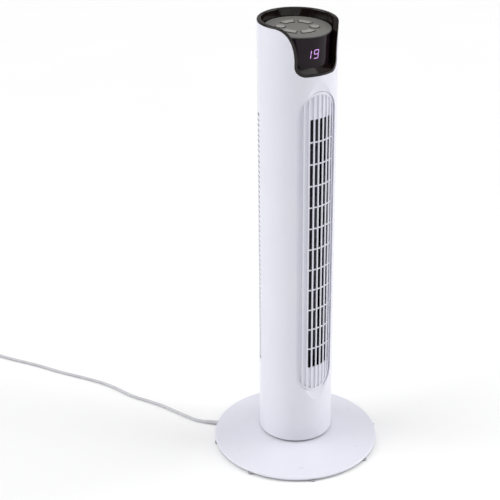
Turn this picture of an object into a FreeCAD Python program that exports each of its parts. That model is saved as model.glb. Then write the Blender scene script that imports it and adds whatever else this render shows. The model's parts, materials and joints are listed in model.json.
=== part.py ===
import FreeCAD, Part
import math
import os
import re

import Sketcher
from FreeCAD import Placement, Rotation, Vector

# Tower fan.  Millimetres, +Z up, origin on the floor under the centre of the base.
# The grille and the display face -Y.  The tower swings on the base about +Z.

SIZES = {
    # tower shells
    "tower_radius": 64.0,
    "wall": 2.4,
    "tower_foot": 29.2,
    "seam_angle": 98.0,
    "shell_top": 769.7,
    "shell_top_slope": 0.02,
    "screw_boss": 4.0,
    # front opening and grille
    "arch_half_width": 36.0,
    "arch_low": 127.0,
    "arch_high": 669.0,
    "dish_low": 105.0,
    "dish_high": 689.7,
    "dish_spread": 13.5,
    "dish_floor": 60.0,
    "dish_brim": 65.0,
    "slot_low": 173.5,
    "slot_high": 624.3,
    "slot_rows": 12.0,
    "border_width": 4.4,
    "ridge_count": 9.0,
    "ridge_pitch": 8.1,
    "ridge_width": 3.0,
    "ridge_radius": 61.4,
    "ridge_back": 59.9,
    "grille_radius": 59.0,
    "grille_inner": 57.4,
    "rib_height": 1.9,
    # rear intake
    "intake_angle": 105.0,
    "intake_low": 170.0,
    "intake_high": 624.0,
    "intake_rows": 51.0,
    "louvre_height": 4.3,
    # hood, control panel and display
    "hood_top": 772.8,
    "hood_slope": 0.04,
    "hood_inner": 55.0,
    "hood_foot": 690.0,
    "mouth_half_width": 36.5,
    "mouth_low": 699.6,
    "mouth_corner": 16.0,
    "mouth_bend": 720.0,
    "mouth_reach": 62.0,
    "mouth_rise": 54.0,
    "mouth_band": 3.8,
    "panel_height": 759.0,
    "panel_slope": 0.06,
    "panel_radius": 54.0,
    "panel_thick": 2.4,
    "lens_radius": 52.5,
    "lens_low": 703.0,
    "button_ring": 27.0,
    "button_radius": 7.6,
    "button_rise": 1.0,
    "button_gap": 1.15,
    "button_travel": 0.8,
    # base
    "base_radius": 146.0,
    "base_low": 3.2,
    "base_edge": 7.7,
    "base_dome": 26.5,
    "plate_radius": 133.0,
    "plate_thick": 3.0,
    "foot_ring": 143.8,
    "foot_radius": 4.6,
    "foot_count": 8.0,
    "screw_ring": 118.0,
    "screw_count": 6.0,
    # pivot and swing drive
    "post_radius": 8.5,
    "post_bore": 5.5,
    "post_top": 49.0,
    "gear_module": 1.0,
    "sun_teeth": 36.0,
    "pinion_teeth": 18.0,
    "gear_low": 34.0,
    "gear_high": 39.0,
    # impeller and motor
    "wheel_radius": 41.0,
    "wheel_centre": 4.0,
    "wheel_low": 146.0,
    "wheel_high": 648.0,
    "wheel_stages": 6.0,
    "wheel_blades": 24.0,
    "shaft_radius": 4.0,
    "motor_low": 66.0,
    "motor_high": 128.0,
    "motor_radius": 36.0,
    "bracket_low": 128.0,
    "bracket_thick": 3.0,
    "crown_low": 661.0,
    # mains lead
    "lead_radius": 2.6,
}

doc = FreeCAD.newDocument("tower_fan")
sheet = doc.addObject("Spreadsheet::Sheet", "Sizes")
nodes = []


def fill_sheet():
    """One named cell for each driving size."""
    for row, (alias, value) in enumerate(SIZES.items(), start=1):
        sheet.set("A%d" % row, alias.replace("_", " "))
        sheet.set("B%d" % row, str(value))
        sheet.setAlias("B%d" % row, alias)
    doc.recompute()


def size(alias):
    """A driving size read back from the sheet."""
    return float(sheet.get(alias))


def formula(text):
    """Write the sheet's name in front of each size in a formula."""
    return re.sub(r"\b([a-z]+_[a-z_]+|wall)\b", r"Sizes.\1", text)


def value_of(text):
    """The number that a formula gives."""
    return float(sheet.evalExpression(formula(text)))


# ------------------------------------------------------------------ building blocks

def keep(obj, label):
    """Mark an object of the document as one finished piece."""
    obj.Label = label
    nodes.append(obj)
    return obj


def cylinder(name, radius, height, low, x="0", y="0"):
    obj = doc.addObject("Part::Cylinder", name)
    obj.setExpression("Radius", formula(radius))
    obj.setExpression("Height", formula(height))
    obj.setExpression("Placement.Base.x", formula(x))
    obj.setExpression("Placement.Base.y", formula(y))
    obj.setExpression("Placement.Base.z", formula(low))
    return obj


def block(name, corner, length, width, height):
    obj = doc.addObject("Part::Box", name)
    obj.setExpression("Length", formula(length))
    obj.setExpression("Width", formula(width))
    obj.setExpression("Height", formula(height))
    for axis, text in zip("xyz", corner):
        obj.setExpression("Placement.Base." + axis, formula(text))
    return obj


def cut(name, base, tool):
    obj = doc.addObject("Part::Cut", name)
    obj.Base = base
    obj.Tool = tool
    return obj


def join(name, shapes):
    obj = doc.addObject("Part::MultiFuse", name)
    obj.Shapes = shapes
    return obj


def lathe(name, outline):
    """A PartDesign body turned about Z from a closed outline of (radius, height) formulas."""
    body = doc.addObject("PartDesign::Body", name)
    plane = [f for f in body.Origin.OriginFeatures if f.Role == "XZ_Plane"][0]
    sketch = body.newObject("Sketcher::SketchObject", name + "_outline")
    sketch.AttachmentSupport = [(plane, "")]
    sketch.MapMode = "FlatFace"
    corners = [Vector(value_of(r), value_of(z), 0) for r, z in outline]
    count = len(corners)
    for i in range(count):
        sketch.addGeometry(Part.LineSegment(corners[i], corners[(i + 1) % count]), False)
    for i in range(count):
        sketch.addConstraint(Sketcher.Constraint("Coincident", i, 2, (i + 1) % count, 1))
    for i, (radius, height) in enumerate(outline):
        for kind, axis, text, number in (
            ("DistanceX", -2, radius, corners[i].x),
            ("DistanceY", -1, height, corners[i].y),
        ):
            if abs(number) < 1e-9:
                sketch.addConstraint(Sketcher.Constraint("PointOnObject", i, 1, axis))
                continue
            index = sketch.addConstraint(Sketcher.Constraint(kind, -1, 1, i, 1, number))
            sketch.setExpression("Constraints[%d]" % index, formula(text))
    turn = body.newObject("PartDesign::Revolution", name + "_turn")
    turn.Profile = sketch
    turn.ReferenceAxis = (sketch, ["V_Axis"])
    turn.Angle = 360.0
    sketch.Visibility = False
    return body


def tube_outline(inner, outer, low, high):
    return [(inner, low), (outer, low), (outer, high), (inner, high)]


def feature(name, shape):
    """A free-form piece whose shape is worked out from the sheet."""
    obj = doc.addObject("Part::Feature", name)
    obj.Shape = shape
    return obj


# ------------------------------------------------------------------ free-form helpers

def at_angle(radius, angle, height=0.0):
    """A point at an angle in degrees from the front (-Y), turning towards +X."""
    a = math.radians(angle)
    return Vector(radius * math.sin(a), -radius * math.cos(a), height)


def sector(inner, outer, low, high, start, end):
    """A piece of a ring between two angles measured from the front."""
    middle = (start + end) / 2.0
    edges = [
        Part.Arc(at_angle(outer, start), at_angle(outer, middle), at_angle(outer, end)).toShape(),
        Part.LineSegment(at_angle(outer, end), at_angle(inner, end)).toShape(),
        Part.Arc(at_angle(inner, end), at_angle(inner, middle), at_angle(inner, start)).toShape(),
        Part.LineSegment(at_angle(inner, start), at_angle(outer, start)).toShape(),
    ]
    solid = Part.Face(Part.Wire(edges)).extrude(Vector(0, 0, high - low))
    solid.translate(Vector(0, 0, low))
    return solid


def ring(inner, outer, low, high):
    outside = Part.makeCylinder(outer, high - low, Vector(0, 0, low))
    return outside.cut(Part.makeCylinder(inner, high - low, Vector(0, 0, low)))


def turned(points):
    """A solid turned about Z from straight edges through (radius, height) points."""
    corners = [Vector(r, 0, z) for r, z in points]
    corners.append(corners[0])
    face = Part.Face(Part.makePolygon(corners))
    return face.revolve(Vector(0, 0, 0), Vector(0, 0, 1), 360)


def stadium(half_width, low, high, y):
    """An upright slot outline with round ends, in the plane at y."""
    w = half_width
    top = high - w
    foot = low + w
    return Part.Wire([
        Part.LineSegment(Vector(w, y, foot), Vector(w, y, top)).toShape(),
        Part.Arc(Vector(w, y, top), Vector(0, y, high), Vector(-w, y, top)).toShape(),
        Part.LineSegment(Vector(-w, y, top), Vector(-w, y, foot)).toShape(),
        Part.Arc(Vector(-w, y, foot), Vector(0, y, low), Vector(w, y, foot)).toShape(),
    ])


def stadium_prism(half_width, low, high):
    face = Part.Face(stadium(half_width, low, high, -80.0))
    return face.extrude(Vector(0, 70.0, 0))


def above_slope(height, slope, reach=160.0):
    """Everything above the plane z = height + slope * y."""
    side = reach / 2.0
    corners = [
        Vector(-side, -side, height - slope * side),
        Vector(-side, side, height + slope * side),
        Vector(-side, side, height + reach),
        Vector(-side, -side, height + reach),
        Vector(-side, -side, height - slope * side),
    ]
    return Part.Face(Part.makePolygon(corners)).extrude(Vector(reach, 0, 0))


def panel_placement():
    """The control panel leans a little towards the front."""
    lean = math.degrees(math.atan(size("panel_slope")))
    return Placement(Vector(0, 0, size("panel_height")), Rotation(Vector(1, 0, 0), lean))


def screw(head_radius, head_height, shank_radius, length):
    """A pan-head screw along +Z, with the top of its head at the origin and its tip above."""
    head = Part.makeCylinder(head_radius, head_height)
    head = head.makeChamfer(0.4, [head.Edges[2]]) if head_height > 1.2 else head
    slot = Part.makeBox(head_radius * 1.3, 0.8, 0.7, Vector(-head_radius * 0.65, -0.4, 0))
    cross = Part.makeBox(0.8, head_radius * 1.3, 0.7, Vector(-0.4, -head_radius * 0.65, 0))
    shank = Part.makeCylinder(shank_radius, length, Vector(0, 0, head_height))
    return head.cut(slot.fuse(cross)).fuse(shank).removeSplitter()


# ------------------------------------------------------------------ base

def base_screw_spots(height):
    """Where the screws that hold the plate under the cover stand."""
    step = 360.0 / size("screw_count")
    return [at_angle(size("screw_ring"), step * (i + 0.5), height) for i in range(int(size("screw_count")))]


def make_base_cover():
    """Thin dished cover: a low rim, a gently domed top and a flat pedestal under the tower."""
    rim = size("base_radius")
    low = size("base_low")
    edge = size("base_edge")
    top = size("base_dome")
    skin = size("wall")
    pedestal = 60.0
    shoulder = Vector(pedestal + 6.0, 0, top - 1.6)
    middle = Vector(105.0, 0, 15.2)
    rim_top = Vector(rim - 1.6, 0, edge)
    under = [Vector(p.x, 0, p.z - skin) for p in (shoulder, middle)]
    under_rim = Vector(rim - 9.0, 0, edge - 1.5)
    bore = size("post_radius") + 1.5
    edges = [
        Part.LineSegment(Vector(bore, 0, top), Vector(pedestal, 0, top)),
        Part.LineSegment(Vector(pedestal, 0, top), shoulder),
        Part.Arc(shoulder, middle, rim_top),
        Part.Arc(rim_top, Vector(rim, 0, (edge + low) / 2.0), Vector(rim - 1.4, 0, low)),
        Part.LineSegment(Vector(rim - 1.4, 0, low), Vector(rim - 11.5, 0, low)),
        Part.LineSegment(Vector(rim - 11.5, 0, low), under_rim),
        Part.Arc(under_rim, under[1], under[0]),
        Part.LineSegment(under[0], Vector(pedestal - 1.0, 0, top - skin)),
        Part.LineSegment(Vector(pedestal - 1.0, 0, top - skin), Vector(bore, 0, top - skin)),
        Part.LineSegment(Vector(bore, 0, top - skin), Vector(bore, 0, top)),
    ]
    face = Part.Face(Part.Wire([e.toShape() for e in edges]))
    cover = face.revolve(Vector(0, 0, 0), Vector(0, 0, 1), 360)
    boss_low = size("base_low") + size("plate_thick") + 0.4
    bosses = [Part.makeCylinder(4.2, 6.0, spot) for spot in base_screw_spots(boss_low)]
    cover = cover.multiFuse(bosses)
    holes = [Part.makeCylinder(1.7, 11.5, spot) for spot in base_screw_spots(0.0)]
    cover = cover.cut(Part.makeCompound(holes))
    cover = cover.cut(grommet_block(0.0))
    keep(feature("base_cover", cover), "base_cover")


def lead_direction():
    """Where the mains lead leaves the base, as a unit vector on the floor."""
    first = LEAD_ROUTE[0]
    spot = Vector(first[0], first[1], 0)
    return spot.normalize()


def grommet_block(clearance):
    """The strain relief's square neck through the rim of the base."""
    neck = Part.makeBox(14.0, 8.4 + clearance, 7.0, Vector(-12.0, -4.2 - clearance / 2.0, 0))
    angle = math.degrees(math.atan2(lead_direction().y, lead_direction().x))
    rim_spot = lead_direction() * (size("base_radius") - 1.0)
    neck.Placement = Placement(Vector(rim_spot.x, rim_spot.y, 0), Rotation(Vector(0, 0, 1), angle))
    return neck


def make_base():
    make_base_cover()
    plate = cylinder("plate_disc", "plate_radius", "plate_thick", "base_low + 0.4")
    holes = [cylinder("plate_bore", "post_radius + 0.6", "20", "0")]
    for i, spot in enumerate(base_screw_spots(0.0)):
        holes.append(cylinder("plate_hole_%d" % i, "2.1", "20", "0", "%.4f" % spot.x, "%.4f" % spot.y))
    notch = feature("plate_notch", grommet_block(1.0))
    plate = cut("base_plate", plate, join("plate_holes", holes + [notch]))
    keep(plate, "base_plate")

    screws = []
    head_height = 1.5
    for spot in base_screw_spots(size("base_low") + 0.4 - head_height):
        body = screw(3.4, head_height, 1.65, 7.6)
        body.translate(spot)
        screws.append(body)
    keep(feature("base_screws", Part.makeCompound(screws)), "base_screws")

    pads = []
    step = 360.0 / size("foot_count")
    for i in range(int(size("foot_count"))):
        pad = Part.makeCone(size("foot_radius") - 0.7, size("foot_radius"), size("base_low"))
        pad.translate(at_angle(size("foot_ring"), step * (i + 0.5)))
        pads.append(pad)
    keep(feature("rubber_feet", Part.makeCompound(pads)), "rubber_feet")

    post = lathe("pivot_post", [
        ("post_bore", "base_low + 0.4"),
        ("post_radius", "base_low + 0.4"),
        ("post_radius", "base_low + plate_thick + 0.4"),
        ("post_radius + 9", "base_low + plate_thick + 0.4"),
        ("post_radius + 9", "base_low + plate_thick + 2.9"),
        ("post_radius", "base_low + plate_thick + 5.4"),
        ("post_radius", "post_top"),
        ("post_bore", "post_top"),
    ])
    keep(post, "pivot_post")

    glide = lathe("glide_ring", tube_outline("34", "42", "base_dome", "tower_foot - 0.3"))
    keep(glide, "glide_ring")
    washer = lathe("pivot_washer", tube_outline(
        "post_radius", "post_radius + 6", "gear_high + 0.4", "gear_high + 1.6"))
    keep(washer, "pivot_washer")
    make_pivot_nut()
    make_sun_gear()


def make_pivot_nut():
    """Hexagonal nut that holds the tower down on its post."""
    low = size("gear_high") + 1.6
    across = size("post_radius") + 4.6
    corners = [Vector(across * math.cos(math.radians(60 * i)), across * math.sin(math.radians(60 * i)), low)
               for i in range(7)]
    nut = Part.Face(Part.makePolygon(corners)).extrude(Vector(0, 0, 5.0))
    nut = nut.cut(Part.makeCylinder(size("post_radius"), 10.0, Vector(0, 0, low - 1.0)))
    keep(feature("pivot_nut", nut), "pivot_nut")


# ------------------------------------------------------------------ gears

def involute_flank(base_radius, from_radius, to_radius, count=6):
    """Points of an involute between two radii, as (radius, angle) pairs."""
    points = []
    for i in range(count):
        radius = from_radius + (to_radius - from_radius) * i / (count - 1)
        roll = math.sqrt(max((radius / base_radius) ** 2 - 1.0, 0.0))
        points.append((radius, roll - math.atan(roll)))
    return points


def gear_blank(teeth, module, low, high, play):
    """A spur gear with involute teeth, each thinned by a little play, a tooth centred on +X."""
    pitch = teeth * module / 2.0
    pressure = math.radians(20.0)
    base = pitch * math.cos(pressure)
    root = pitch - 1.25 * module
    tip = pitch + 0.95 * module
    half = math.pi / (2.0 * teeth) - play / (2.0 * pitch) + math.tan(pressure) - pressure
    flank = involute_flank(base, max(base, root), tip)
    outline = []
    for tooth in range(teeth):
        centre = 2.0 * math.pi * tooth / teeth
        left = [(r, centre - half + a) for r, a in flank]
        right = [(r, centre + half - a) for r, a in reversed(flank)]
        outline.append((root, centre - half))
        outline.extend(left)
        outline.extend(right)
        outline.append((root, centre + half))
    corners = [Vector(r * math.cos(a), r * math.sin(a), low) for r, a in outline]
    corners.append(corners[0])
    return Part.Face(Part.makePolygon(corners)).extrude(Vector(0, 0, high - low))


def make_sun_gear():
    """Fixed gear on the post that the swing drive walks around."""
    teeth = int(size("sun_teeth"))
    gear = gear_blank(teeth, size("gear_module"), size("gear_low"), size("gear_high"), 0.12)
    bore = Part.makeCylinder(size("post_radius"), 20.0, Vector(0, 0, size("gear_low") - 5.0))
    keep(feature("swing_gear", gear.cut(bore)), "swing_gear")


def gear_centres():
    """Distance from the tower's axis to the pinion's."""
    return size("gear_module") * (size("sun_teeth") + size("pinion_teeth")) / 2.0


def make_swing_drive():
    """Geared swing motor on its bracket, and the pinion on its output shaft."""
    reach = gear_centres()
    low = size("gear_low") + 0.2
    high = size("gear_high") - 0.2
    pinion = gear_blank(int(size("pinion_teeth")), size("gear_module"), low, high, 0.12)
    pinion = pinion.fuse(Part.makeCylinder(2.5, 16.0, Vector(0, 0, low)))
    pinion.translate(Vector(0, reach, 0))
    keep(feature("swing_pinion", pinion), "swing_pinion")

    motor_spot = "%.3f" % (reach + 10.5)
    shaft_spot = "%.3f" % reach
    can = cylinder("swing_can", "19.5", "17", "gear_high + 3.2", "0", motor_spot)
    shaft_hole = cylinder("swing_hole", "2.56", "13", "gear_high + 1", "0", shaft_spot)
    keep(cut("swing_motor", can, shaft_hole), "swing_motor")

    plate = block("swing_plate", ("-24", "%.3f" % (reach - 8.5), "gear_high + 1.6"), "48", "34", "1.6")
    hole = cylinder("swing_plate_hole", "4", "10", "gear_high - 1", "0", shaft_spot)
    plate = cut("swing_plate_cut", plate, hole)
    legs = []
    for i, x in enumerate((-20.0, 20.0)):
        legs.append(cylinder("swing_leg_%d" % i, "3", "gear_high + 1.6 - tower_foot - 3", "tower_foot + 3",
                             "%.1f" % x, "%.3f" % (reach + 10.0)))
    keep(join("swing_bracket", [plate] + legs), "swing_bracket")


# ------------------------------------------------------------------ tower shells

def mouth_wire(grow, y):
    """The hood's mouth from the front: flat foot, round corners, sides that curve out to level."""
    half = size("mouth_half_width") + grow
    low = size("mouth_low") - grow
    corner = size("mouth_corner")
    bend = size("mouth_bend")
    reach = size("mouth_reach")
    top = bend + size("mouth_rise") - grow * 1.1
    sky = size("hood_top") + 20.0
    beyond = size("tower_radius") + 16.0
    diagonal = corner * (1.0 - math.sqrt(0.5))

    def side(sign):
        foot = Vector(sign * half, y, bend)
        crest = Vector(sign * reach, y, top)
        ellipse = Part.Ellipse(crest, foot, Vector(sign * reach, y, bend))
        return [
            Part.LineSegment(Vector(sign * half, y, low + corner), foot),
            Part.ArcOfEllipse(ellipse, 0.0, math.pi / 2.0),
            Part.LineSegment(crest, Vector(sign * beyond, y, top)),
            Part.LineSegment(Vector(sign * beyond, y, top), Vector(sign * beyond, y, sky)),
        ]

    right_corner = Part.Arc(Vector(half - corner, y, low), Vector(half - diagonal, y, low + diagonal),
                            Vector(half, y, low + corner))
    left_corner = Part.Arc(Vector(-half, y, low + corner), Vector(diagonal - half, y, low + diagonal),
                           Vector(corner - half, y, low))
    roof = Part.LineSegment(Vector(beyond, y, sky), Vector(-beyond, y, sky))
    sill = Part.LineSegment(Vector(corner - half, y, low), Vector(half - corner, y, low))
    edges = [sill, right_corner] + side(1.0) + [roof] + side(-1.0)[::-1] + [left_corner]
    return Part.Wire([e.toShape() for e in edges])


def mouth_prism(grow):
    return Part.Face(mouth_wire(grow, -80.0)).extrude(Vector(0, 64.0, 0))


def shell_ring(start, end):
    """One part of the tower's skin between two angles, trimmed to its sloping top."""
    outer = size("tower_radius")
    low = size("tower_foot") + 0.6
    skin = sector(outer - size("wall"), outer, low, size("hood_top") + 10.0, start, end)
    return skin.cut(above_slope(size("shell_top"), size("shell_top_slope")))


def make_front_shell():
    """Front skin with the dished grille opening and the hood's mouth cut out of it."""
    shell = shell_ring(-size("seam_angle"), size("seam_angle"))
    shell = shell.cut(mouth_prism(size("mouth_band")))
    arch = size("arch_half_width")
    wide = arch + size("dish_spread")
    inner = stadium(arch, size("arch_low"), size("arch_high"), -size("dish_floor"))
    outer = stadium(wide, size("dish_low"), size("dish_high"), -size("dish_brim"))
    dish = Part.makeLoft([inner, outer], True, True)
    surround = ring(size("grille_radius") + 0.2, size("tower_radius") - size("wall") + 0.5,
                    size("dish_low") - 10.0, size("dish_high") + 10.0)
    surround = surround.common(stadium_prism(wide, size("dish_low") + 2.0, size("dish_high") - 2.0))
    shell = shell.fuse(surround).cut(dish)
    shell = shell.cut(stadium_prism(arch, size("arch_low"), size("arch_high")))
    keep(feature("front_shell", shell.removeSplitter()), "front_shell")


def make_rear_shell():
    """Rear skin with rows of narrow intake slots between upright ribs."""
    start = size("seam_angle") + 0.3
    shell = shell_ring(start, 360.0 - start)
    outer = size("tower_radius")
    inner = outer - size("wall")
    low = size("intake_low")
    high = size("intake_high")
    first = size("intake_angle")
    span = (360.0 - 2.0 * first) / 4.0
    windows = []
    for i in range(4):
        a = first + span * i + (1.4 if i else 0.0)
        b = first + span * (i + 1) - (1.4 if i < 3 else 0.0)
        windows.append(sector(inner - 2.0, outer + 2.0, low, high, a, b))
    shell = shell.cut(Part.makeCompound(windows))
    rows = int(size("intake_rows"))
    pitch = (high - low) / rows
    louvres = []
    for i in range(1, rows):
        middle = low + pitch * i
        half = size("louvre_height") / 2.0
        louvres.append(sector(inner + 0.2, outer - 0.4, middle - half, middle + half,
                              first - 0.6, 360.6 - first))
    shell = shell.fuse(Part.makeCompound(louvres)).fuse(Part.makeCompound(shell_screw_bosses()))
    shell = shell.cut(Part.makeCompound(shell_screw_holes()))
    keep(feature("rear_shell", shell), "rear_shell")


def shell_screw_spots():
    """Six screws up the two edges of the rear skin, as (angle, height)."""
    return [(a, z) for a in (120.0, 240.0) for z in (62.0, 146.0, 664.0)]


def radial_placement(angle, height, radius):
    """A placement whose +Z points at the tower's axis."""
    spot = at_angle(radius, angle, height)
    inward = Vector(-spot.x, -spot.y, 0).normalize()
    return Placement(spot, Rotation(Vector(0, 0, 1), inward))


def shell_screw_holes():
    """A sunk seat and a bore for each screw."""
    holes = []
    for angle, height in shell_screw_spots():
        hole = Part.makeCylinder(3.5, 2.4).fuse(Part.makeCylinder(1.75, 14.0))
        hole.Placement = radial_placement(angle, height, size("tower_radius") + 0.8)
        holes.append(hole)
    return holes


def shell_screw_bosses():
    """The round posts inside the skin that the screws run in."""
    bosses = []
    for angle, height in shell_screw_spots():
        boss = Part.makeCylinder(size("screw_boss"), 8.5)
        boss.Placement = radial_placement(angle, height, size("tower_radius") - size("wall") + 0.3)
        bosses.append(boss)
    return bosses


def make_shell_screws():
    screws = []
    for angle, height in shell_screw_spots():
        body = screw(3.2, 1.1, 1.65, 8.0)
        body.Placement = radial_placement(angle, height, size("tower_radius") - 0.5)
        screws.append(body)
    keep(feature("shell_screws", Part.makeCompound(screws)), "shell_screws")


def make_front_grille():
    """Curved plate with upright ridges in a border; six flutes are open, split by thin ribs."""
    inner = size("grille_inner")
    floor = size("grille_radius")
    arch = size("arch_half_width") - 0.35
    low = size("arch_low") + 0.35
    high = size("arch_high") - 0.35
    plate = sector(inner, floor, low - 9.0, high + 15.5, -42.0, 42.0)
    ridges = []
    count = int(size("ridge_count"))
    pitch = size("ridge_pitch")
    half = math.degrees(size("ridge_width") / 2.0 / size("ridge_radius"))
    for i in range(1, count - 1):
        a = (i - (count - 1) / 2.0) * pitch
        ridges.append(ridge_bar(floor - 0.3, size("ridge_radius"), low, high, a, half))
    back = size("ridge_back")
    border = size("border_width")
    rim = sector(floor - 0.3, size("ridge_radius") - 0.3, low, high, -42.0, 42.0)
    field = stadium_prism(arch, low, high)
    bore = stadium_prism(arch - border, low + border, high - border)
    edge = border - 0.6
    raised = Part.makeCompound(ridges).common(stadium_prism(arch - edge, low + edge, high - edge))
    wall = rim.common(field).cut(bore)
    first = (2.0 - (count - 1) / 2.0) * pitch + half
    last = (count - 1) / 2.0 * pitch - half
    window = sector(inner - 2.0, back, size("slot_low"), size("slot_high"), first, last)
    grille = plate.cut(window)
    raised = raised.cut(window)
    ribs = []
    rows = int(size("slot_rows"))
    row = (size("slot_high") - size("slot_low")) / rows
    for i in range(1, rows):
        middle = size("slot_low") + row * i
        ribs.append(sector(back - 1.4, back + 0.5, middle - size("rib_height") / 2.0,
                           middle + size("rib_height") / 2.0, first - 1.0, last + 1.0))
    grille = grille.multiFuse([raised, wall] + ribs)
    keep(feature("front_grille", grille), "front_grille")


def ridge_bar(inner, outer, low, high, angle, half):
    """An upright ridge with sides that close in towards a narrow crest."""
    crest = half * 0.62
    corners = [
        at_angle(inner, angle - half, low),
        at_angle(outer - 0.7, angle - half, low),
        at_angle(outer, angle - crest, low),
        at_angle(outer, angle + crest, low),
        at_angle(outer - 0.7, angle + half, low),
        at_angle(inner, angle + half, low),
        at_angle(inner, angle - half, low),
    ]
    return Part.Face(Part.makePolygon(corners)).extrude(Vector(0, 0, high - low))


def make_bottom_cap():
    """The tower's floor: a disc with an upright collar that both skins are held on."""
    cap = lathe("bottom_cap", [
        ("post_radius + 3", "tower_foot"),
        ("tower_radius - 1.2", "tower_foot"),
        ("tower_radius - wall - 0.3", "tower_foot + 0.5"),
        ("tower_radius - wall - 0.3", "tower_foot + 20"),
        ("tower_radius - wall - 2.5", "tower_foot + 20"),
        ("tower_radius - wall - 2.5", "tower_foot + 3"),
        ("post_radius + 3", "tower_foot + 3"),
    ])
    keep(cap, "bottom_cap")
    bush = lathe("pivot_bush", [
        ("post_radius + 0.06", "tower_foot"),
        ("post_radius + 3", "tower_foot"),
        ("post_radius + 3", "tower_foot + 3"),
        ("post_radius + 5.5", "tower_foot + 3"),
        ("post_radius + 5.5", "tower_foot + 4.4"),
        ("post_radius + 0.06", "tower_foot + 4.4"),
    ])
    keep(bush, "pivot_bush")


# ------------------------------------------------------------------ hood, panel and display

def make_hood():
    """Glossy trim that lines the top: a rounded rim, a sloping inner wall and a lip under the display."""
    outer = size("tower_radius")
    skin = outer - size("wall")
    inner = size("hood_inner")
    foot = size("hood_foot")
    top = size("hood_top") + 10.0
    body = ring(inner, outer + 0.15, foot, top)
    flare = turned([(inner - 5.0, size("panel_height") + 6.0), (inner + 0.1, size("panel_height") - 5.0),
                    (inner + 3.6, top + 2.0), (inner - 5.0, top + 2.0)])
    body = body.cut(flare).cut(above_slope(size("hood_top"), size("hood_slope")))
    rim_edges = [e for e in body.Edges if e.BoundBox.ZMin > size("hood_top") - 9.0 and e.Length > 100.0]
    outer_edges = [e for e in rim_edges if e.BoundBox.XLength > 2.0 * outer - 2.0]
    body = body.makeFillet(2.6, outer_edges)
    inner_edges = [e for e in body.Edges
                   if e.BoundBox.ZMin > size("hood_top") - 9.0 and e.Length > 100.0
                   and e.BoundBox.XLength < 2.0 * outer - 8.0]
    body = body.makeFillet(1.6, inner_edges)
    overlap = ring(skin - 0.3, outer + 1.0, foot - 5.0, top)
    overlap = overlap.cut(mouth_prism(size("mouth_band") - 0.15))
    overlap = overlap.cut(above_slope(size("shell_top") + 0.15, size("shell_top_slope")))
    body = body.cut(overlap)
    sill_low = size("mouth_low")
    lip = turned([(inner - 4.0, foot - 5.0), (outer + 2.0, foot - 5.0), (outer + 2.0, sill_low - 0.9),
                  (outer - 1.6, sill_low + 0.4), (inner - 2.2, sill_low + 7.2),
                  (inner - 4.0, sill_low + 7.2)])
    mouth = mouth_prism(0.0).cut(lip)
    body = body.cut(mouth)
    sill = ring(size("lens_radius") + 0.4, inner + 0.5, foot, size("mouth_low") + 12.0)
    sill = sill.common(lip).common(mouth_prism(6.0))
    body = body.fuse(sill)
    keep(feature("hood_trim", body), "hood_trim")


def make_display():
    """Dark curved lens, the frame that carries it, and the lamps and receiver behind it."""
    radius = size("lens_radius")
    low = size("lens_low")
    placement = panel_placement()
    panel_room = size("panel_height") - size("panel_thick") - 0.35
    under_panel = above_slope(panel_room, size("panel_slope"))
    lens = sector(radius - 1.8, radius, low, size("panel_height") + 5.0, -62.0, 62.0).cut(under_panel)
    keep(feature("display_lens", lens), "display_lens")

    frame = ring(radius - 4.0, radius - 2.0, low - 3.0, size("panel_height") + 5.0).cut(under_panel)
    window = sector(radius - 8.0, radius + 1.0, 716.0, 742.0, -20.0, 20.0)
    floor = Part.makeCylinder(radius - 2.0, 2.0, Vector(0, 0, low - 5.0))
    lead_hole = Part.makeCylinder(3.2, 20.0, Vector(LEAD_RISER[0], LEAD_RISER[1], low - 12.0))
    frame = frame.cut(window).fuse(floor).cut(lead_hole)
    keep(feature("pod_frame", frame), "pod_frame")

    module = block("digit_block", ("-15", "-48", "719"), "30", "7", "20")
    keep(module, "digit_module")
    receiver = doc.addObject("Part::Sphere", "receiver_dome")
    receiver.Radius = 2.6
    receiver.Placement = Placement(Vector(0, -45.5, 711.0), Rotation())
    stem = block("receiver_stem", ("-3", "-46", "707.5"), "6", "5", "7")
    keep(join("infrared_receiver", [receiver, stem]), "infrared_receiver")

    board = Part.makeCylinder(44.0, 1.6, Vector(0, 0, -13.0))
    board.Placement = placement
    board = board.cut(Part.makeBox(60.0, 14.0, 60.0, Vector(-30.0, -50.0, 715.0)))
    riser = Part.makeCylinder(3.0, 80.0, Vector(LEAD_RISER[0], LEAD_RISER[1], 700.0))
    board = board.cut(riser)
    keep(feature("control_board", board), "control_board")

    switches = []
    for i in range(6):
        spot = button_spot(i)
        case = Part.makeBox(6.0, 6.0, 3.6, Vector(spot.x - 3.0, spot.y - 3.0, -11.4))
        stem = Part.makeCylinder(1.7, 2.2, Vector(spot.x, spot.y, -7.8))
        switches.append(case.fuse(stem))
    group = Part.makeCompound(switches)
    group.Placement = placement
    keep(feature("key_switches", group), "key_switches")


def button_spot(index):
    """Middle of one key on the panel, counted from the one nearest the front."""
    return at_angle(size("button_ring"), 60.0 * index)


BUTTON_NAMES = ["swing_key", "speed_key", "timer_key", "mode_key", "power_key", "display_key"]
ROUND_BUTTONS = (1, 4)


def button_plan(index, grow, low, high):
    """A key's outline on the panel, grown all round: a disc, or a curved bar with its ends cut square."""
    if index in ROUND_BUTTONS:
        foot = button_spot(index) + Vector(0, 0, low)
        return Part.makeCylinder(size("button_radius") + grow, high - low, foot)
    middle = 60.0 * index
    half = 22.0 + math.degrees(grow / size("button_ring"))
    return sector(size("button_ring") - 5.6 - grow, size("button_ring") + 5.6 + grow, low, high,
                  middle - half, middle + half)


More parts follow.
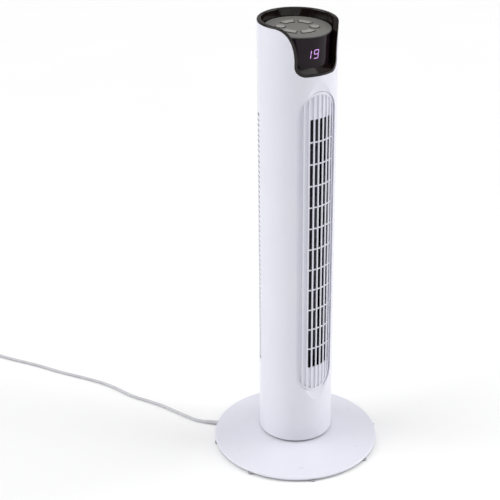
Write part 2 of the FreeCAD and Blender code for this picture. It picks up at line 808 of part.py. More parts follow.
def make_panel():
    """Satin control disc with six openings for the keys."""
    radius = size("panel_radius")
    thick = size("panel_thick")
    disc = turned([(0.0, -thick), (radius - 0.6, -thick), (radius, 0.6 - thick), (radius, -1.1),
                   (radius - 1.1, 0.0), (0.0, 0.0)])
    openings = [button_plan(i, size("button_gap"), -thick - 1.0, 1.0) for i in range(6)]
    disc = disc.cut(Part.makeCompound(openings))
    disc.Placement = panel_placement()
    keep(feature("control_panel", disc), "control_panel")

    for i, name in enumerate(BUTTON_NAMES):
        rise = size("button_rise")
        cap = button_plan(i, 0.0, -thick - 0.6, rise)
        crown = [e for e in cap.Edges if e.BoundBox.ZMin > rise - 0.01]
        cap = cap.makeChamfer(0.45, crown)
        flange = button_plan(i, 1.1, -thick - 1.6, -thick - 0.3)
        plunger = Part.makeCylinder(2.0, 1.2, button_spot(i) + Vector(0, 0, -thick - 2.0))
        key = cap.fuse(flange).fuse(plunger).removeSplitter()
        key.Placement = panel_placement()
        keep(feature(name, key), name)


# ------------------------------------------------------------------ impeller, motor and air path

def wheel_axis():
    return Vector(0, size("wheel_centre"), 0)


def blade_face(index, count, low):
    """One thin blade, bent forward, of the cross-flow wheel."""
    outer = size("wheel_radius") - 0.8
    inner = outer - 9.0
    turn = 2.0 * math.pi * index / count
    spots = []
    for radius, lead in ((inner, 0.0), (outer, 0.19), (outer, 0.225), (inner, 0.045)):
        spots.append(Vector(radius * math.cos(turn + lead), radius * math.sin(turn + lead), low))
    spots.append(spots[0])
    return Part.Face(Part.makePolygon(spots))


def make_impeller():
    """Cross-flow wheel: stacked stages of bent blades between thin discs, on a steel shaft."""
    stages = int(size("wheel_stages"))
    low = size("wheel_low")
    height = (size("wheel_high") - low - 2.0) / stages
    blades = int(size("wheel_blades"))
    pieces = [Part.makeCylinder(size("wheel_radius"), 2.0, Vector(0, 0, low))]
    for stage in range(stages):
        foot = low + 2.0 + stage * height
        for i in range(blades):
            pieces.append(blade_face(i, blades, foot).extrude(Vector(0, 0, height - 2.0)))
        pieces.append(Part.makeCylinder(size("wheel_radius"), 2.0, Vector(0, 0, foot + height - 2.0)))
    wheel = pieces[0].multiFuse(pieces[1:])
    hub = Part.makeCylinder(12.0, 14.0, Vector(0, 0, low - 8.0))
    wheel = wheel.fuse(hub)
    bores = [Part.makeCylinder(size("shaft_radius"), 30.0, Vector(0, 0, low - 12.0)),
             Part.makeCylinder(size("shaft_radius"), 30.0, Vector(0, 0, size("wheel_high") - 20.0))]
    wheel = wheel.cut(Part.makeCompound(bores))
    wheel.translate(wheel_axis())
    keep(feature("impeller", wheel), "impeller")

    y = "wheel_centre"
    length = "wheel_low + 14 - motor_low - 3"
    lower = cylinder("drive_shaft", "shaft_radius", length, "motor_low + 3", "0", y)
    keep(lower, "drive_shaft")
    upper = cylinder("upper_shaft", "shaft_radius", "23", "wheel_high - 5", "0", y)
    keep(upper, "upper_shaft")
    core = cylinder("rotor_core", "15", "28", "motor_low + 17", "0", y)
    bore = cylinder("rotor_bore", "shaft_radius", "60", "motor_low + 5", "0", y)
    keep(cut("motor_rotor", core, bore), "motor_rotor")


def offset_turned(name, outline):
    """A turned body moved onto the wheel's axis."""
    body = lathe(name, outline)
    body.setExpression("Placement.Base.y", formula("wheel_centre"))
    return keep(body, name)


def make_motor():
    offset_turned("motor_stator", tube_outline("15.6", "33.5", "motor_low + 17", "motor_low + 45"))
    offset_turned("lower_winding", tube_outline("18", "30", "motor_low + 9", "motor_low + 17"))
    offset_turned("upper_winding", tube_outline("18", "30", "motor_low + 45", "motor_low + 53"))
    offset_turned("lower_motor_shield", [
        ("7", "motor_low"), ("motor_radius", "motor_low"), ("motor_radius", "motor_low + 31"),
        ("33.5", "motor_low + 31"), ("33.5", "motor_low + 3"), ("7", "motor_low + 3"),
    ])
    offset_turned("upper_motor_shield", [
        ("7", "motor_high"), ("motor_radius", "motor_high"), ("motor_radius", "motor_low + 31"),
        ("33.5", "motor_low + 31"), ("33.5", "motor_high - 3"), ("7", "motor_high - 3"),
    ])
    offset_turned("lower_motor_bush", tube_outline(
        "shaft_radius + 0.05", "7", "motor_low + 0.5", "motor_low + 8"))
    offset_turned("upper_motor_bush", tube_outline(
        "shaft_radius + 0.05", "7", "motor_high - 8", "motor_high"))


def make_bracket(name, low, thick, hole_radius):
    """A cross plate between the skins, with a hole on the wheel's axis and one for the inner lead."""
    radius = size("tower_radius") - size("wall") - 0.4
    plate = Part.makeCylinder(radius, thick, Vector(0, 0, low))
    grille_room = sector(size("grille_inner") - 0.5, 80.0, low - 10.0, low + 20.0, -54.0, 54.0)
    plate = plate.cut(grille_room)
    plate = plate.cut(Part.makeCylinder(hole_radius, 40.0, wheel_axis() + Vector(0, 0, low - 20.0)))
    riser = Part.makeCylinder(3.0, 40.0, Vector(LEAD_RISER[0], LEAD_RISER[1], low - 20.0))
    plate = plate.cut(riser)
    for angle, height in shell_screw_spots():
        path = Part.makeCylinder(size("screw_boss") + 0.4, 14.0)
        path.Placement = radial_placement(angle, height, size("tower_radius"))
        plate = plate.cut(path)
    keep(feature(name, plate), name)


def make_air_path():
    """Cross plates above and below the wheel, the scroll behind it and the tongue beside it."""
    make_bracket("motor_bracket", size("bracket_low"), size("bracket_thick"), 14.0)
    make_bracket("crown_bracket", size("crown_low"), 3.0, 8.0)
    low = size("bracket_low") + size("bracket_thick")
    high = size("crown_low")
    centre = wheel_axis()

    def around(radius, degrees):
        a = math.radians(degrees)
        return Vector(radius * math.cos(a), radius * math.sin(a), low) + centre

    edges = [
        Part.Arc(around(49.6, -46), around(49.6, 8), around(49.6, 62)).toShape(),
        Part.LineSegment(around(49.6, 62), around(48.0, 62)).toShape(),
        Part.Arc(around(48.0, 62), around(48.0, 8), around(48.0, -46)).toShape(),
        Part.LineSegment(around(48.0, -46), around(49.6, -46)).toShape(),
    ]
    scroll = Part.Face(Part.Wire(edges)).extrude(Vector(0, 0, high - low))
    keep(feature("scroll_guide", scroll), "scroll_guide")

    corners = [(-38.5, -40.0), (-36.9, -40.0), (-36.9, -23.0),
               (-50.0, -10.0), (-50.0, -12.3), (-38.5, -23.7)]
    points = [Vector(x, y, low) for x, y in corners]
    points.append(points[0])
    tongue = Part.Face(Part.makePolygon(points)).extrude(Vector(0, 0, high - low))
    keep(feature("tongue_guide", tongue), "tongue_guide")

    offset_turned("crown_bush", [
        ("shaft_radius + 0.05", "crown_low - 3"), ("11", "crown_low - 3"), ("11", "crown_low"),
        ("8", "crown_low"), ("8", "crown_low + 3"), ("shaft_radius + 0.05", "crown_low + 3"),
    ])


# Where the inner lead climbs, beside the wheel.
LEAD_RISER = (-43.0, 15.0)


def make_inner_lead():
    """Lead that climbs inside the rear skin from the motor to the control board."""
    low = size("motor_low")
    high = size("panel_height") - 15.0
    riser = cylinder("inner_lead", "1.6", "%.2f" % (high - low), "%.2f" % low,
                     "%.2f" % LEAD_RISER[0], "%.2f" % LEAD_RISER[1])
    keep(riser, "inner_lead")


# ------------------------------------------------------------------ mains lead

# Route of the mains lead from the strain relief outwards, chosen point by point.
LEAD_ROUTE = [
    (-117.0, 122.0, 3.95),
    (-125.5, 131.6, 3.40),
    (-133.0, 147.0, 2.75),
    (-139.5, 166.0, 2.70),
    (-147.5, 188.0, 2.70),
    (-156.0, 213.5, 2.70),
    (-168.0, 240.0, 2.70),
    (-182.5, 265.0, 2.70),
    (-193.0, 291.5, 2.70),
    (-201.0, 321.0, 2.70),
    (-215.0, 356.0, 2.70),
    (-238.5, 395.0, 2.70),
    (-267.5, 440.0, 2.70),
    (-292.5, 488.0, 2.70),
    (-322.5, 533.0, 2.70),
    (-346.0, 574.0, 2.70),
    (-362.0, 612.0, 2.70),
]
COIL_CENTRE = (-386.0, 603.0)
COIL_INNER = 18.0
COIL_OUTER = 37.5
COIL_HEIGHT = 11.0
TAIL_ROUTE = [
    (-402.4, 626.4, 2.70),
    (-421.0, 614.5, 2.70),
    (-433.5, 596.0, 4.50),
    (-436.5, 573.5, 7.00),
]
PLUG_HEADING = 262.5


def bend_radius(before, corner, after):
    """The largest arc that two runs allow: 0.45 of the shorter over the tangent of half the turn."""
    first = corner - before
    second = after - corner
    half_turn = first.getAngle(second) / 2.0
    return 0.45 * min(first.Length, second.Length) / math.tan(half_turn), half_turn


def lead_path(route):
    """Straight runs joined by tangent arcs, and the arcs' radii."""
    points = [Vector(*p) for p in route]
    edges = []
    radii = []
    start = points[0]
    for i in range(1, len(points) - 1):
        radius, half_turn = bend_radius(points[i - 1], points[i], points[i + 1])
        reach = radius * math.tan(half_turn)
        into = (points[i] - points[i - 1]).normalize()
        away = (points[i + 1] - points[i]).normalize()
        arc_start = points[i] - into * reach
        arc_end = points[i] + away * reach
        inward = (away - into).normalize()
        middle = points[i] + inward * (radius / math.cos(half_turn) - radius)
        edges.append(Part.LineSegment(start, arc_start).toShape())
        edges.append(Part.Arc(arc_start, middle, arc_end).toShape())
        radii.append(radius)
        start = arc_end
    edges.append(Part.LineSegment(start, points[-1]).toShape())
    return Part.Wire(edges), radii


def make_lead(name, route):
    """One free stretch of the mains lead."""
    path, radii = lead_path(route)
    heading = (Vector(*route[1]) - Vector(*route[0])).normalize()
    radius = size("lead_radius")
    ring_edge = Part.makeCircle(radius, Vector(*route[0]), heading)
    tube = path.makePipeShell([Part.Wire(ring_edge)], True, True)
    ideal = math.pi * radius ** 2 * path.Length
    print("%s: length %.1f, volume %.1f of %.1f, radii %s" % (
        name, path.Length, tube.Volume, ideal, " ".join("%.0f" % r for r in radii)))
    keep(feature(name, tube), name)


def make_mains_lead():
    """Strain relief, free lead, its neat coil and the plug."""
    direction = lead_direction()
    start = Vector(*LEAD_ROUTE[0])
    root = Vector(direction.x, direction.y, 0) * (size("base_radius") + 1.0) + Vector(0, 0, start.z)
    length = (start - root).Length
    relief = Part.makeCone(3.6, size("lead_radius") + 0.2, length, root, direction)
    collars = []
    for i in range(4):
        spot = root + direction * (3.0 + 4.6 * i)
        collars.append(Part.makeCylinder(3.75 - 0.1 * i, 1.6, spot, direction))
    relief = relief.multiFuse(collars)
    neck = grommet_block(-0.6)
    neck = neck.cut(Part.makeBox(400.0, 400.0, 0.4, Vector(-300.0, -50.0, 0)))
    neck = neck.common(Part.makeBox(400.0, 400.0, 6.6, Vector(-300.0, -50.0, 0)))
    keep(feature("strain_relief", neck.fuse(relief)), "strain_relief")
    make_lead("power_cord", LEAD_ROUTE)

    coil = ring(COIL_INNER, COIL_OUTER, 0.1, COIL_HEIGHT)
    coil.translate(Vector(COIL_CENTRE[0], COIL_CENTRE[1], 0))
    keep(feature("cord_coil", coil), "cord_coil")
    make_lead("cord_tail", TAIL_ROUTE)
    make_plug()


def plug_section(width, depth, x):
    """An upright oblong outline with round corners, across the plug at a distance along it."""
    w = width / 2.0
    d = depth / 2.0
    r = min(w, d) * 0.55
    k = r * (1.0 - math.sqrt(0.5))
    edges = []
    for sy, sz, flip in ((1, 1, False), (-1, 1, True), (-1, -1, False), (1, -1, True)):
        a = Vector(x, sy * w, sz * (d - r))
        b = Vector(x, sy * (w - k), sz * (d - k))
        c = Vector(x, sy * (w - r), sz * d)
        edges.append(Part.Arc(c, b, a) if flip else Part.Arc(a, b, c))
    top = Part.LineSegment(Vector(x, w - r, d), Vector(x, r - w, d))
    left = Part.LineSegment(Vector(x, -w, d - r), Vector(x, -w, r - d))
    foot = Part.LineSegment(Vector(x, r - w, -d), Vector(x, w - r, -d))
    right = Part.LineSegment(Vector(x, w, r - d), Vector(x, w, d - r))
    order = [edges[0], top, edges[1], left, edges[2], foot, edges[3], right]
    return Part.Wire([e.toShape() for e in order])


def make_plug():
    """Flat two-pin plug: a tapered moulded body and two round pins."""
    end = Vector(*TAIL_ROUTE[-1])
    turn = Placement(end, Rotation(Vector(0, 0, 1), PLUG_HEADING))
    sections = [plug_section(7.6, 7.6, 0.0), plug_section(9.0, 8.6, 9.0), plug_section(25.0, 13.4, 20.0),
                plug_section(34.0, 13.4, 34.0)]
    body = Part.makeLoft(sections, True, True)
    body.Placement = turn
    keep(feature("mains_plug", body), "mains_plug")
    pins = []
    for side in (-9.3, 9.3):
        pin = Part.makeCylinder(2.0, 19.0, Vector(34.0, side, 0), Vector(1, 0, 0))
        pins.append(pin.makeFillet(0.8, [pin.Edges[0]]))
    group = Part.makeCompound(pins)
    group.Placement = turn
    keep(feature("plug_pins", group), "plug_pins")


# ------------------------------------------------------------------ build, check and write

def build():
    fill_sheet()
    make_base()
    make_swing_drive()
    make_bottom_cap()
    make_front_shell()
    make_front_grille()
    make_rear_shell()
    make_shell_screws()
    make_hood()
    make_display()
    make_panel()
    make_impeller()
    make_motor()
    make_air_path()
    make_inner_lead()
    make_mains_lead()
    doc.recompute()


def check():
    """Stop before anything is written if an object failed or a piece isn't a valid solid."""
    faults = []
    for obj in doc.Objects:
        if "Invalid" in obj.State or "Error" in obj.State:
            faults.append("%s: %s" % (obj.Label, obj.State))
    for obj in nodes:
        shape = obj.Shape
        if shape.isNull() or not shape.isValid() or not shape.Solids:
            faults.append("%s: bad shape" % obj.Label)
    if faults:
        raise RuntimeError("; ".join(faults))


def write():
    os.makedirs("parts", exist_ok=True)
    for obj in nodes:
        obj.Shape.exportStep(os.path.join("parts", obj.Label + ".step"))
        print("%-20s solids %d volume %.0f" % (obj.Label, len(obj.Shape.Solids), obj.Shape.Volume))


build()
check()
write()
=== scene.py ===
import json
import math

import bpy
from mathutils import Matrix, Vector


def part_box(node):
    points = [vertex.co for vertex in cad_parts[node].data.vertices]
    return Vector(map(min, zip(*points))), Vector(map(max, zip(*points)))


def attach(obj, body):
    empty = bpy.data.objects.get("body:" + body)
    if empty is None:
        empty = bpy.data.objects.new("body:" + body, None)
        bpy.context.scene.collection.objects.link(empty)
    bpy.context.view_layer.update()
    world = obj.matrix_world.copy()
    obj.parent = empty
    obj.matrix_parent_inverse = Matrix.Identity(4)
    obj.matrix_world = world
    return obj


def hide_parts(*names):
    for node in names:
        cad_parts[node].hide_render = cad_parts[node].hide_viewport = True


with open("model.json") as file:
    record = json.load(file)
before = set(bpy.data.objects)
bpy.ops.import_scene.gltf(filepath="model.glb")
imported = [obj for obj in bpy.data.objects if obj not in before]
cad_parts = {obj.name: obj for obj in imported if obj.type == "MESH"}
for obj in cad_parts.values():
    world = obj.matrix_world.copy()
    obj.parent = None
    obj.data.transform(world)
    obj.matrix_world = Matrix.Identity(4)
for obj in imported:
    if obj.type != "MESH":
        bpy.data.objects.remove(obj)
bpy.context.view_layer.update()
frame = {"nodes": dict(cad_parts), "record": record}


# ------------------------------------------------------------------ camera

CAMERA_PLACE = (-1.0830, -1.5466, 1.2755)
CAMERA_HEADING = 32.62   # degrees from +Y towards +X
CAMERA_DIP = 25.55       # degrees below the horizon
CAMERA_ROLL = -0.70
CAMERA_LENS = 88.82      # millimetres
SENSOR_WIDTH = 36.0


def make_camera():
    data = bpy.data.cameras.new("camera")
    data.lens = CAMERA_LENS
    data.sensor_width = SENSOR_WIDTH
    camera = bpy.data.objects.new("camera", data)
    turn = Matrix.Rotation(math.radians(-CAMERA_HEADING), 4, "Z")
    dip = Matrix.Rotation(math.radians(90.0 - CAMERA_DIP), 4, "X")
    roll = Matrix.Rotation(math.radians(CAMERA_ROLL), 4, "Z")
    camera.matrix_world = Matrix.Translation(CAMERA_PLACE) @ turn @ dip @ roll
    bpy.context.scene.collection.objects.link(camera)
    bpy.context.scene.camera = camera


make_camera()


# ------------------------------------------------------------------ mains lead

LEAD_DIAMETER = 0.0052
LEAD_SMOOTHNESS = 10     # curve steps between two points of the route
LEAD_ROUNDNESS = 5
LEAD_ROUTE = [
    (-0.1170, 0.1220, 0.00395),
    (-0.1255, 0.1316, 0.00340),
    (-0.1330, 0.1470, 0.00275),
    (-0.1395, 0.1660, 0.00270),
    (-0.1475, 0.1880, 0.00270),
    (-0.1560, 0.2135, 0.00270),
    (-0.1680, 0.2400, 0.00270),
    (-0.1825, 0.2650, 0.00270),
    (-0.1930, 0.2915, 0.00270),
    (-0.2010, 0.3210, 0.00270),
    (-0.2150, 0.3560, 0.00270),
    (-0.2385, 0.3950, 0.00270),
    (-0.2675, 0.4400, 0.00270),
    (-0.2925, 0.4880, 0.00270),
    (-0.3225, 0.5330, 0.00270),
    (-0.3460, 0.5740, 0.00270),
]
TAIL_ROUTE = [
    (-0.4069, 0.6329, 0.00760),
    (-0.4202, 0.6228, 0.00580),
    (-0.4294, 0.6091, 0.00400),
    (-0.4345, 0.5935, 0.00440),
    (-0.4365, 0.5735, 0.00700),
]
COIL_CENTRE = (-0.386, 0.603)
COIL_OUTER = 0.0357
COIL_INNER = 0.0214
COIL_START = 20.0        # degrees, where the lead joins the coil
COIL_TURNS = 5.25
COIL_RISE_TURNS = 0.25
POINTS_PER_TURN = 14
FLOOR_LAYER = 0.0027
TOP_LAYER = 0.0081


def coil_points():
    """A flat spiral inwards on the floor, then a second one outwards on top of it."""
    count = int(COIL_TURNS * POINTS_PER_TURN)
    flat = (COIL_TURNS - COIL_RISE_TURNS) / 2.0
    points = []
    for i in range(count + 1):
        turns = i / POINTS_PER_TURN
        inward = min(turns / flat, 1.0)
        rise = min(max((turns - flat) / COIL_RISE_TURNS, 0.0), 1.0)
        outward = min(max((turns - flat - COIL_RISE_TURNS) / flat, 0.0), 1.0)
        radius = COIL_OUTER + (COIL_INNER - COIL_OUTER) * (inward - outward)
        height = FLOOR_LAYER + (TOP_LAYER - FLOOR_LAYER) * rise
        angle = math.radians(COIL_START) + 2.0 * math.pi * turns
        points.append((COIL_CENTRE[0] + radius * math.cos(angle),
                       COIL_CENTRE[1] + radius * math.sin(angle), height))
    return points


def make_lead():
    data = bpy.data.curves.new("mains_lead", "CURVE")
    data.dimensions = "3D"
    data.resolution_u = LEAD_SMOOTHNESS
    data.bevel_depth = 1.0
    data.bevel_resolution = LEAD_ROUNDNESS
    data.use_fill_caps = True
    route = LEAD_ROUTE + coil_points() + TAIL_ROUTE
    spline = data.splines.new("NURBS")
    spline.points.add(len(route) - 1)
    for point, place in zip(spline.points, route):
        point.co = (*place, 1.0)
        point.radius = LEAD_DIAMETER / 2.0
    spline.order_u = 3
    spline.use_endpoint_u = True
    lead = bpy.data.objects.new("mains_lead", data)
    bpy.context.scene.collection.objects.link(lead)
    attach(lead, "base")
    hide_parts("power_cord", "cord_coil", "cord_tail")
    return lead


lead = make_lead()


# ------------------------------------------------------------------ materials

COAT_ROUGHNESS = 0.08
TINT_BAND = (0.35, 0.65)     # noise values where one colour starts to give way to the other
GLOSS_BAND = (0.3, 0.7)
SIDE_SHADE_BAND = (0.55, 0.90)   # how far a face looks up, from wholly painted shade to wholly its own colour
COLOUR_DETAIL = 4.0
GLOSS_DETAIL = 5.0
BUMP_DETAIL = 3.0


class Look:
    """A procedural material built up step by step round one Principled shader."""

    def __init__(self, name, colour, roughness, metallic=0.0, specular=0.5, coat=0.0, sheen=0.0):
        self.material = bpy.data.materials.new(name)
        self.material.use_nodes = True
        self.tree = self.material.node_tree
        self.shader = self.tree.nodes["Principled BSDF"]
        self.colour = colour
        self.roughness = roughness
        self.shader.inputs["Base Color"].default_value = (*colour, 1.0)
        self.shader.inputs["Roughness"].default_value = roughness
        self.shader.inputs["Metallic"].default_value = metallic
        self.shader.inputs["Specular IOR Level"].default_value = specular
        self.shader.inputs["Coat Weight"].default_value = coat
        self.shader.inputs["Coat Roughness"].default_value = COAT_ROUGHNESS
        self.shader.inputs["Sheen Weight"].default_value = sheen
        self.place = self.tree.nodes.new("ShaderNodeTexCoord").outputs["Object"]

    def noise(self, scale, detail, stretch=None):
        """A noise value over the piece, with a scale in patches per metre."""
        node = self.tree.nodes.new("ShaderNodeTexNoise")
        node.inputs["Scale"].default_value = scale
        node.inputs["Detail"].default_value = detail
        place = self.place
        if stretch:
            mapping = self.tree.nodes.new("ShaderNodeMapping")
            mapping.inputs["Scale"].default_value = stretch
            self.tree.links.new(place, mapping.inputs["Vector"])
            place = mapping.outputs["Vector"]
        self.tree.links.new(place, node.inputs["Vector"])
        return node.outputs["Fac"]

    def tint(self, scale, other, stretch=None):
        """The colour drifts towards another in soft patches."""
        ramp = self.tree.nodes.new("ShaderNodeValToRGB")
        ramp.color_ramp.elements[0].position = TINT_BAND[0]
        ramp.color_ramp.elements[1].position = TINT_BAND[1]
        ramp.color_ramp.elements[0].color = (*self.colour, 1.0)
        ramp.color_ramp.elements[1].color = (*other, 1.0)
        self.tree.links.new(self.noise(scale, COLOUR_DETAIL, stretch), ramp.inputs["Fac"])
        self.tree.links.new(ramp.outputs["Color"], self.shader.inputs["Base Color"])
        return self

    def gloss(self, scale, spread, stretch=None):
        """The roughness varies as handled or moulded surfaces do."""
        span = self.tree.nodes.new("ShaderNodeMapRange")
        span.inputs["From Min"].default_value = GLOSS_BAND[0]
        span.inputs["From Max"].default_value = GLOSS_BAND[1]
        span.inputs["To Min"].default_value = self.roughness - spread
        span.inputs["To Max"].default_value = self.roughness + spread
        self.tree.links.new(self.noise(scale, GLOSS_DETAIL, stretch), span.inputs["Value"])
        self.tree.links.new(span.outputs["Result"], self.shader.inputs["Roughness"])
        return self

    def bump(self, scale, strength, depth, stretch=None):
        """Fine relief of the surface, with a depth in metres."""
        node = self.tree.nodes.new("ShaderNodeBump")
        node.inputs["Strength"].default_value = strength
        node.inputs["Distance"].default_value = depth
        self.tree.links.new(self.noise(scale, BUMP_DETAIL, stretch), node.inputs["Height"])
        self.tree.links.new(node.outputs["Normal"], self.shader.inputs["Normal"])
        return self

    def sides(self, colour):
        """Painted shade: everything that does not face upwards is painted dark, standing in for the
        shade in a narrow gap.
        """
        surface = self.tree.nodes.new("ShaderNodeNewGeometry")
        split = self.tree.nodes.new("ShaderNodeSeparateXYZ")
        self.tree.links.new(surface.outputs["True Normal"], split.inputs["Vector"])
        shade_mask = self.tree.nodes.new("ShaderNodeMapRange")
        shade_mask.inputs["From Min"].default_value = SIDE_SHADE_BAND[0]
        shade_mask.inputs["From Max"].default_value = SIDE_SHADE_BAND[1]
        self.tree.links.new(split.outputs["Z"], shade_mask.inputs["Value"])
        mix = self.tree.nodes.new("ShaderNodeMixRGB")
        mix.inputs["Color1"].default_value = (*colour, 1.0)
        self.tree.links.new(shade_mask.outputs["Result"], mix.inputs["Fac"])
        own_colour = self.shader.inputs["Base Color"].links[0].from_socket
        self.tree.links.new(own_colour, mix.inputs["Color2"])
        self.tree.links.new(mix.outputs["Color"], self.shader.inputs["Base Color"])
        return self

    def glow(self, colour, strength):
        self.shader.inputs["Emission Color"].default_value = (*colour, 1.0)
        self.shader.inputs["Emission Strength"].default_value = strength
        return self


def make_looks():
    """One material for each material slot of the record."""
    looks = {
        "white_shell": Look("white_shell", (0.765, 0.765, 0.845), 0.33, coat=0.10)
        .tint(9.0, (0.745, 0.745, 0.83)).gloss(60.0, 0.04).bump(2600.0, 0.12, 0.00006),
        "hood_gloss": Look("hood_gloss", (0.007, 0.0040, 0.0035), 0.12, specular=0.36)
        .tint(30.0, (0.012, 0.007, 0.006)).gloss(90.0, 0.05).bump(900.0, 0.05, 0.00004),
        "display_smoke": Look("display_smoke", (0.010, 0.0045, 0.008), 0.12, specular=0.20)
        .tint(40.0, (0.014, 0.007, 0.012)).gloss(80.0, 0.03).bump(600.0, 0.03, 0.00003),
        "panel_grey": Look("panel_grey", (0.155, 0.150, 0.140), 0.42, specular=0.4)
        .tint(1800.0, (0.195, 0.190, 0.180)).gloss(500.0, 0.06).bump(3800.0, 0.18, 0.00005)
        # painted shade: the panel's faces that do not look up are painted near black
        .sides((0.008, 0.008, 0.008)),
        "key_grey": Look("key_grey", (0.290, 0.285, 0.270), 0.34, specular=0.5)
        .tint(1800.0, (0.350, 0.345, 0.330)).gloss(500.0, 0.06).bump(3800.0, 0.18, 0.00005)
        # painted shade: the keys' faces that do not look up are painted near black
        .sides((0.010, 0.010, 0.010)),
        "black_plastic": Look("black_plastic", (0.020, 0.020, 0.022), 0.55)
        .tint(60.0, (0.030, 0.030, 0.032)).gloss(200.0, 0.08).bump(2400.0, 0.25, 0.00010),
        "impeller_plastic": Look("impeller_plastic", (0.030, 0.026, 0.040), 0.50)
        .tint(40.0, (0.045, 0.038, 0.060)).gloss(160.0, 0.08).bump(1800.0, 0.20, 0.00008),
        "lamp_lilac": Look("lamp_lilac", (0.30, 0.18, 0.42), 0.40)
        .tint(300.0, (0.36, 0.24, 0.48)).gloss(300.0, 0.05).bump(900.0, 0.05, 0.00003)
        .glow((0.62, 0.28, 0.78), 0.9),
        "steel": Look("steel", (0.55, 0.55, 0.56), 0.34, metallic=1.0)
        .tint(120.0, (0.48, 0.48, 0.50)).gloss(260.0, 0.10, (1, 1, 12)).bump(1400.0, 0.20, 0.00006),
        "motor_steel": Look("motor_steel", (0.22, 0.22, 0.24), 0.45, metallic=0.8)
        .tint(80.0, (0.28, 0.28, 0.30)).gloss(200.0, 0.10).bump(1500.0, 0.30, 0.00015, (0.1, 0.1, 1)),
        "copper": Look("copper", (0.55, 0.22, 0.09), 0.32, metallic=0.9)
        .tint(200.0, (0.42, 0.16, 0.07)).gloss(300.0, 0.08).bump(1800.0, 0.60, 0.0003, (0.1, 0.1, 1)),
        "bronze": Look("bronze", (0.45, 0.30, 0.13), 0.45, metallic=1.0)
        .tint(160.0, (0.36, 0.24, 0.11)).gloss(260.0, 0.10).bump(1600.0, 0.25, 0.00006),
        "nylon": Look("nylon", (0.72, 0.71, 0.66), 0.48, sheen=0.05)
        .tint(70.0, (0.66, 0.65, 0.60)).gloss(200.0, 0.06).bump(1600.0, 0.15, 0.00006),
        "rubber": Look("rubber", (0.42, 0.42, 0.44), 0.78, specular=0.3)
        .tint(160.0, (0.35, 0.35, 0.37)).gloss(300.0, 0.08).bump(2000.0, 0.35, 0.00012),
        "lead_white": Look("lead_white", (0.60, 0.60, 0.63), 0.46, specular=0.4)
        .tint(90.0, (0.54, 0.54, 0.57)).gloss(240.0, 0.07).bump(1500.0, 0.18, 0.00008),
        "board_green": Look("board_green", (0.03, 0.14, 0.06), 0.35)
        .tint(220.0, (0.02, 0.10, 0.045)).gloss(300.0, 0.07).bump(800.0, 0.20, 0.00010),
        "switch_black": Look("switch_black", (0.016, 0.016, 0.017), 0.40)
        .tint(160.0, (0.024, 0.024, 0.026)).gloss(240.0, 0.07).bump(1800.0, 0.20, 0.00006),
    }
    return {name: look.material for name, look in looks.items()}


MATERIALS = make_looks()


def paint(piece, slot):
    piece.data.materials.clear()
    piece.data.materials.append(MATERIALS[slot])


def paint_nodes():
    for part in frame["record"]["subparts"]:
        paint(frame["nodes"][part["node"]], part["material_slot"])


paint_nodes()
paint(lead, "lead_white")


# ------------------------------------------------------------------ lit digits

LENS_HALF_ANGLE = 62.0
LENS_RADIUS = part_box("display_lens")[1].x / math.sin(math.radians(LENS_HALF_ANGLE))
DIGIT_HEIGHT = 0.0130
DIGIT_WIDTH = 0.0076
DIGIT_STROKE = 0.0012
DIGIT_PROUD = 0.00008
DIGIT_THICK = 0.00006
DIGIT_SLANT = 0.14
DIGIT_TIP = 0.12         # gap at a bar's pointed end, in strokes
DIGIT_NECK = 0.62        # where the point begins, in strokes
DIGIT_MIDDLE = 0.728     # height above the floor
DIGIT_ANGLES = {"1": -15.8, "9": -1.4}   # degrees from the front towards +X
# Bars of a seven-bar digit as (x, z) ends, in widths and heights from its middle.
BARS = {
    "top": ((-0.5, 0.5), (0.5, 0.5)),
    "middle": ((-0.5, 0.0), (0.5, 0.0)),
    "foot": ((-0.5, -0.5), (0.5, -0.5)),
    "upper_left": ((-0.5, 0.0), (-0.5, 0.5)),
    "upper_right": ((0.5, 0.0), (0.5, 0.5)),
    "lower_right": ((0.5, -0.5), (0.5, 0.0)),
}
DIGIT_BARS = {
    "1": ("upper_right", "lower_right"),
    "9": ("top", "middle", "foot", "upper_left", "upper_right", "lower_right"),
}


def bar_outline(start, end):
    """The six corners of one bar with pointed ends, flat, in metres."""
    a = Vector((start[0] * DIGIT_WIDTH, start[1] * DIGIT_HEIGHT))
    b = Vector((end[0] * DIGIT_WIDTH, end[1] * DIGIT_HEIGHT))
    along = (b - a).normalized()
    side = Vector((-along.y, along.x)) * DIGIT_STROKE / 2.0
    tip = along * DIGIT_STROKE * DIGIT_TIP
    neck = along * DIGIT_STROKE * DIGIT_NECK
    return [a + tip, a + neck - side, b - neck - side, b - tip, b - neck + side, a + neck + side]


def on_lens(angle, x, z, radius):
    """A point on the lens, x metres round from an angle given from the front."""
    a = math.radians(angle) + (x + DIGIT_SLANT * z) / LENS_RADIUS
    return (radius * math.sin(a), -radius * math.cos(a), DIGIT_MIDDLE + z)


def make_digits():
    verts = []
    faces = []
    for digit, angle in DIGIT_ANGLES.items():
        for bar in DIGIT_BARS[digit]:
            outline = bar_outline(*BARS[bar])
            first = len(verts)
            count = len(outline)
            for radius in (LENS_RADIUS + DIGIT_PROUD, LENS_RADIUS + DIGIT_PROUD + DIGIT_THICK):
                verts.extend(on_lens(angle, p.x, p.y, radius) for p in outline)
            faces.append([first + i for i in reversed(range(count))])
            faces.append([first + count + i for i in range(count)])
            for i in range(count):
                j = (i + 1) % count
                faces.append([first + i, first + j, first + count + j, first + count + i])
    mesh = bpy.data.meshes.new("lit_digits")
    mesh.from_pydata(verts, [], faces)
    mesh.validate()
    digits = bpy.data.objects.new("lit_digits", mesh)
    bpy.context.scene.collection.objects.link(digits)
    paint(digits, "lamp_lilac")
    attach(digits, "tower")


make_digits()


# ------------------------------------------------------------------ floor and light

FLOOR_HALF = 40.0
FLOOR_DROP = 0.0002
AMBIENT = 0.36
BACKDROP = 1.0
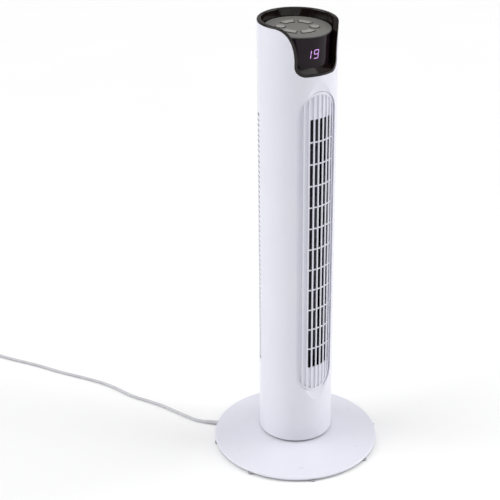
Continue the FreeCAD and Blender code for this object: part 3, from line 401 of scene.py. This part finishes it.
# Name, azimuth from the front towards +X, elevation, spread in degrees, strength.
SUNS = [
    ("top_sun", 0.0, 88.0, 60.0, 0.96),
    ("left_sun", -112.0, 32.0, 45.0, 1.40),
    ("right_sun", 62.0, 32.0, 45.0, 1.05),
]
BOX_PLACE = (1.55, -1.45, 0.95)
BOX_AIM = (0.0, 0.0, 0.72)
BOX_WIDTH = 0.45
BOX_HEIGHT = 1.3
BOX_POWER = 7.0


def make_floor():
    half = FLOOR_HALF
    corners = [(-half, -half, 0), (half, -half, 0), (half, half, 0), (-half, half, 0)]
    mesh = bpy.data.meshes.new("floor")
    mesh.from_pydata(corners, [], [(0, 1, 2, 3)])
    floor = bpy.data.objects.new("floor", mesh)
    floor.location.z = -FLOOR_DROP
    bpy.context.scene.collection.objects.link(floor)
    look = Look("floor", (0.93, 0.93, 0.93), 0.85, specular=0.15).tint(2.0, (0.92, 0.92, 0.92))
    mesh.materials.append(look.material)


def make_box_lamp():
    """A tall soft box on the right, seen as a sheen on the display."""
    data = bpy.data.lights.new("right_box", "AREA")
    data.shape = "RECTANGLE"
    data.size = BOX_WIDTH
    data.size_y = BOX_HEIGHT
    data.energy = BOX_POWER
    lamp = bpy.data.objects.new("right_box", data)
    lamp.location = BOX_PLACE
    lamp.rotation_euler = (Vector(BOX_AIM) - Vector(BOX_PLACE)).to_track_quat("-Z", "Y").to_euler()
    bpy.context.scene.collection.objects.link(lamp)


def make_sun(name, azimuth, elevation, spread, strength):
    """A broad soft sun, from an azimuth counted from the front (-Y) towards +X."""
    data = bpy.data.lights.new(name, "SUN")
    data.energy = strength
    data.angle = math.radians(spread)
    sun = bpy.data.objects.new(name, data)
    a = math.radians(azimuth)
    e = math.radians(elevation)
    towards = Vector((math.sin(a) * math.cos(e), -math.cos(a) * math.cos(e), math.sin(e)))
    sun.rotation_euler = towards.to_track_quat("Z", "Y").to_euler()
    bpy.context.scene.collection.objects.link(sun)


def make_world():
    """White behind the object, and a weaker white as the light from all round."""
    world = bpy.data.worlds.new("studio")
    world.use_nodes = True
    nodes = world.node_tree.nodes
    links = world.node_tree.links
    background = nodes["Background"]
    background.inputs["Color"].default_value = (1.0, 1.0, 1.0, 1.0)
    background.inputs["Strength"].default_value = AMBIENT
    backdrop = nodes.new("ShaderNodeBackground")
    backdrop.inputs["Color"].default_value = (1.0, 1.0, 1.0, 1.0)
    backdrop.inputs["Strength"].default_value = BACKDROP
    path = nodes.new("ShaderNodeLightPath")
    mix = nodes.new("ShaderNodeMixShader")
    links.new(path.outputs["Is Camera Ray"], mix.inputs[0])
    links.new(background.outputs["Background"], mix.inputs[1])
    links.new(backdrop.outputs["Background"], mix.inputs[2])
    links.new(mix.outputs["Shader"], nodes["World Output"].inputs["Surface"])
    bpy.context.scene.world = world
    bpy.context.scene.view_settings.view_transform = "Standard"


def make_light():
    make_world()
    for sun in SUNS:
        make_sun(*sun)
    make_box_lamp()


make_floor()
make_light()
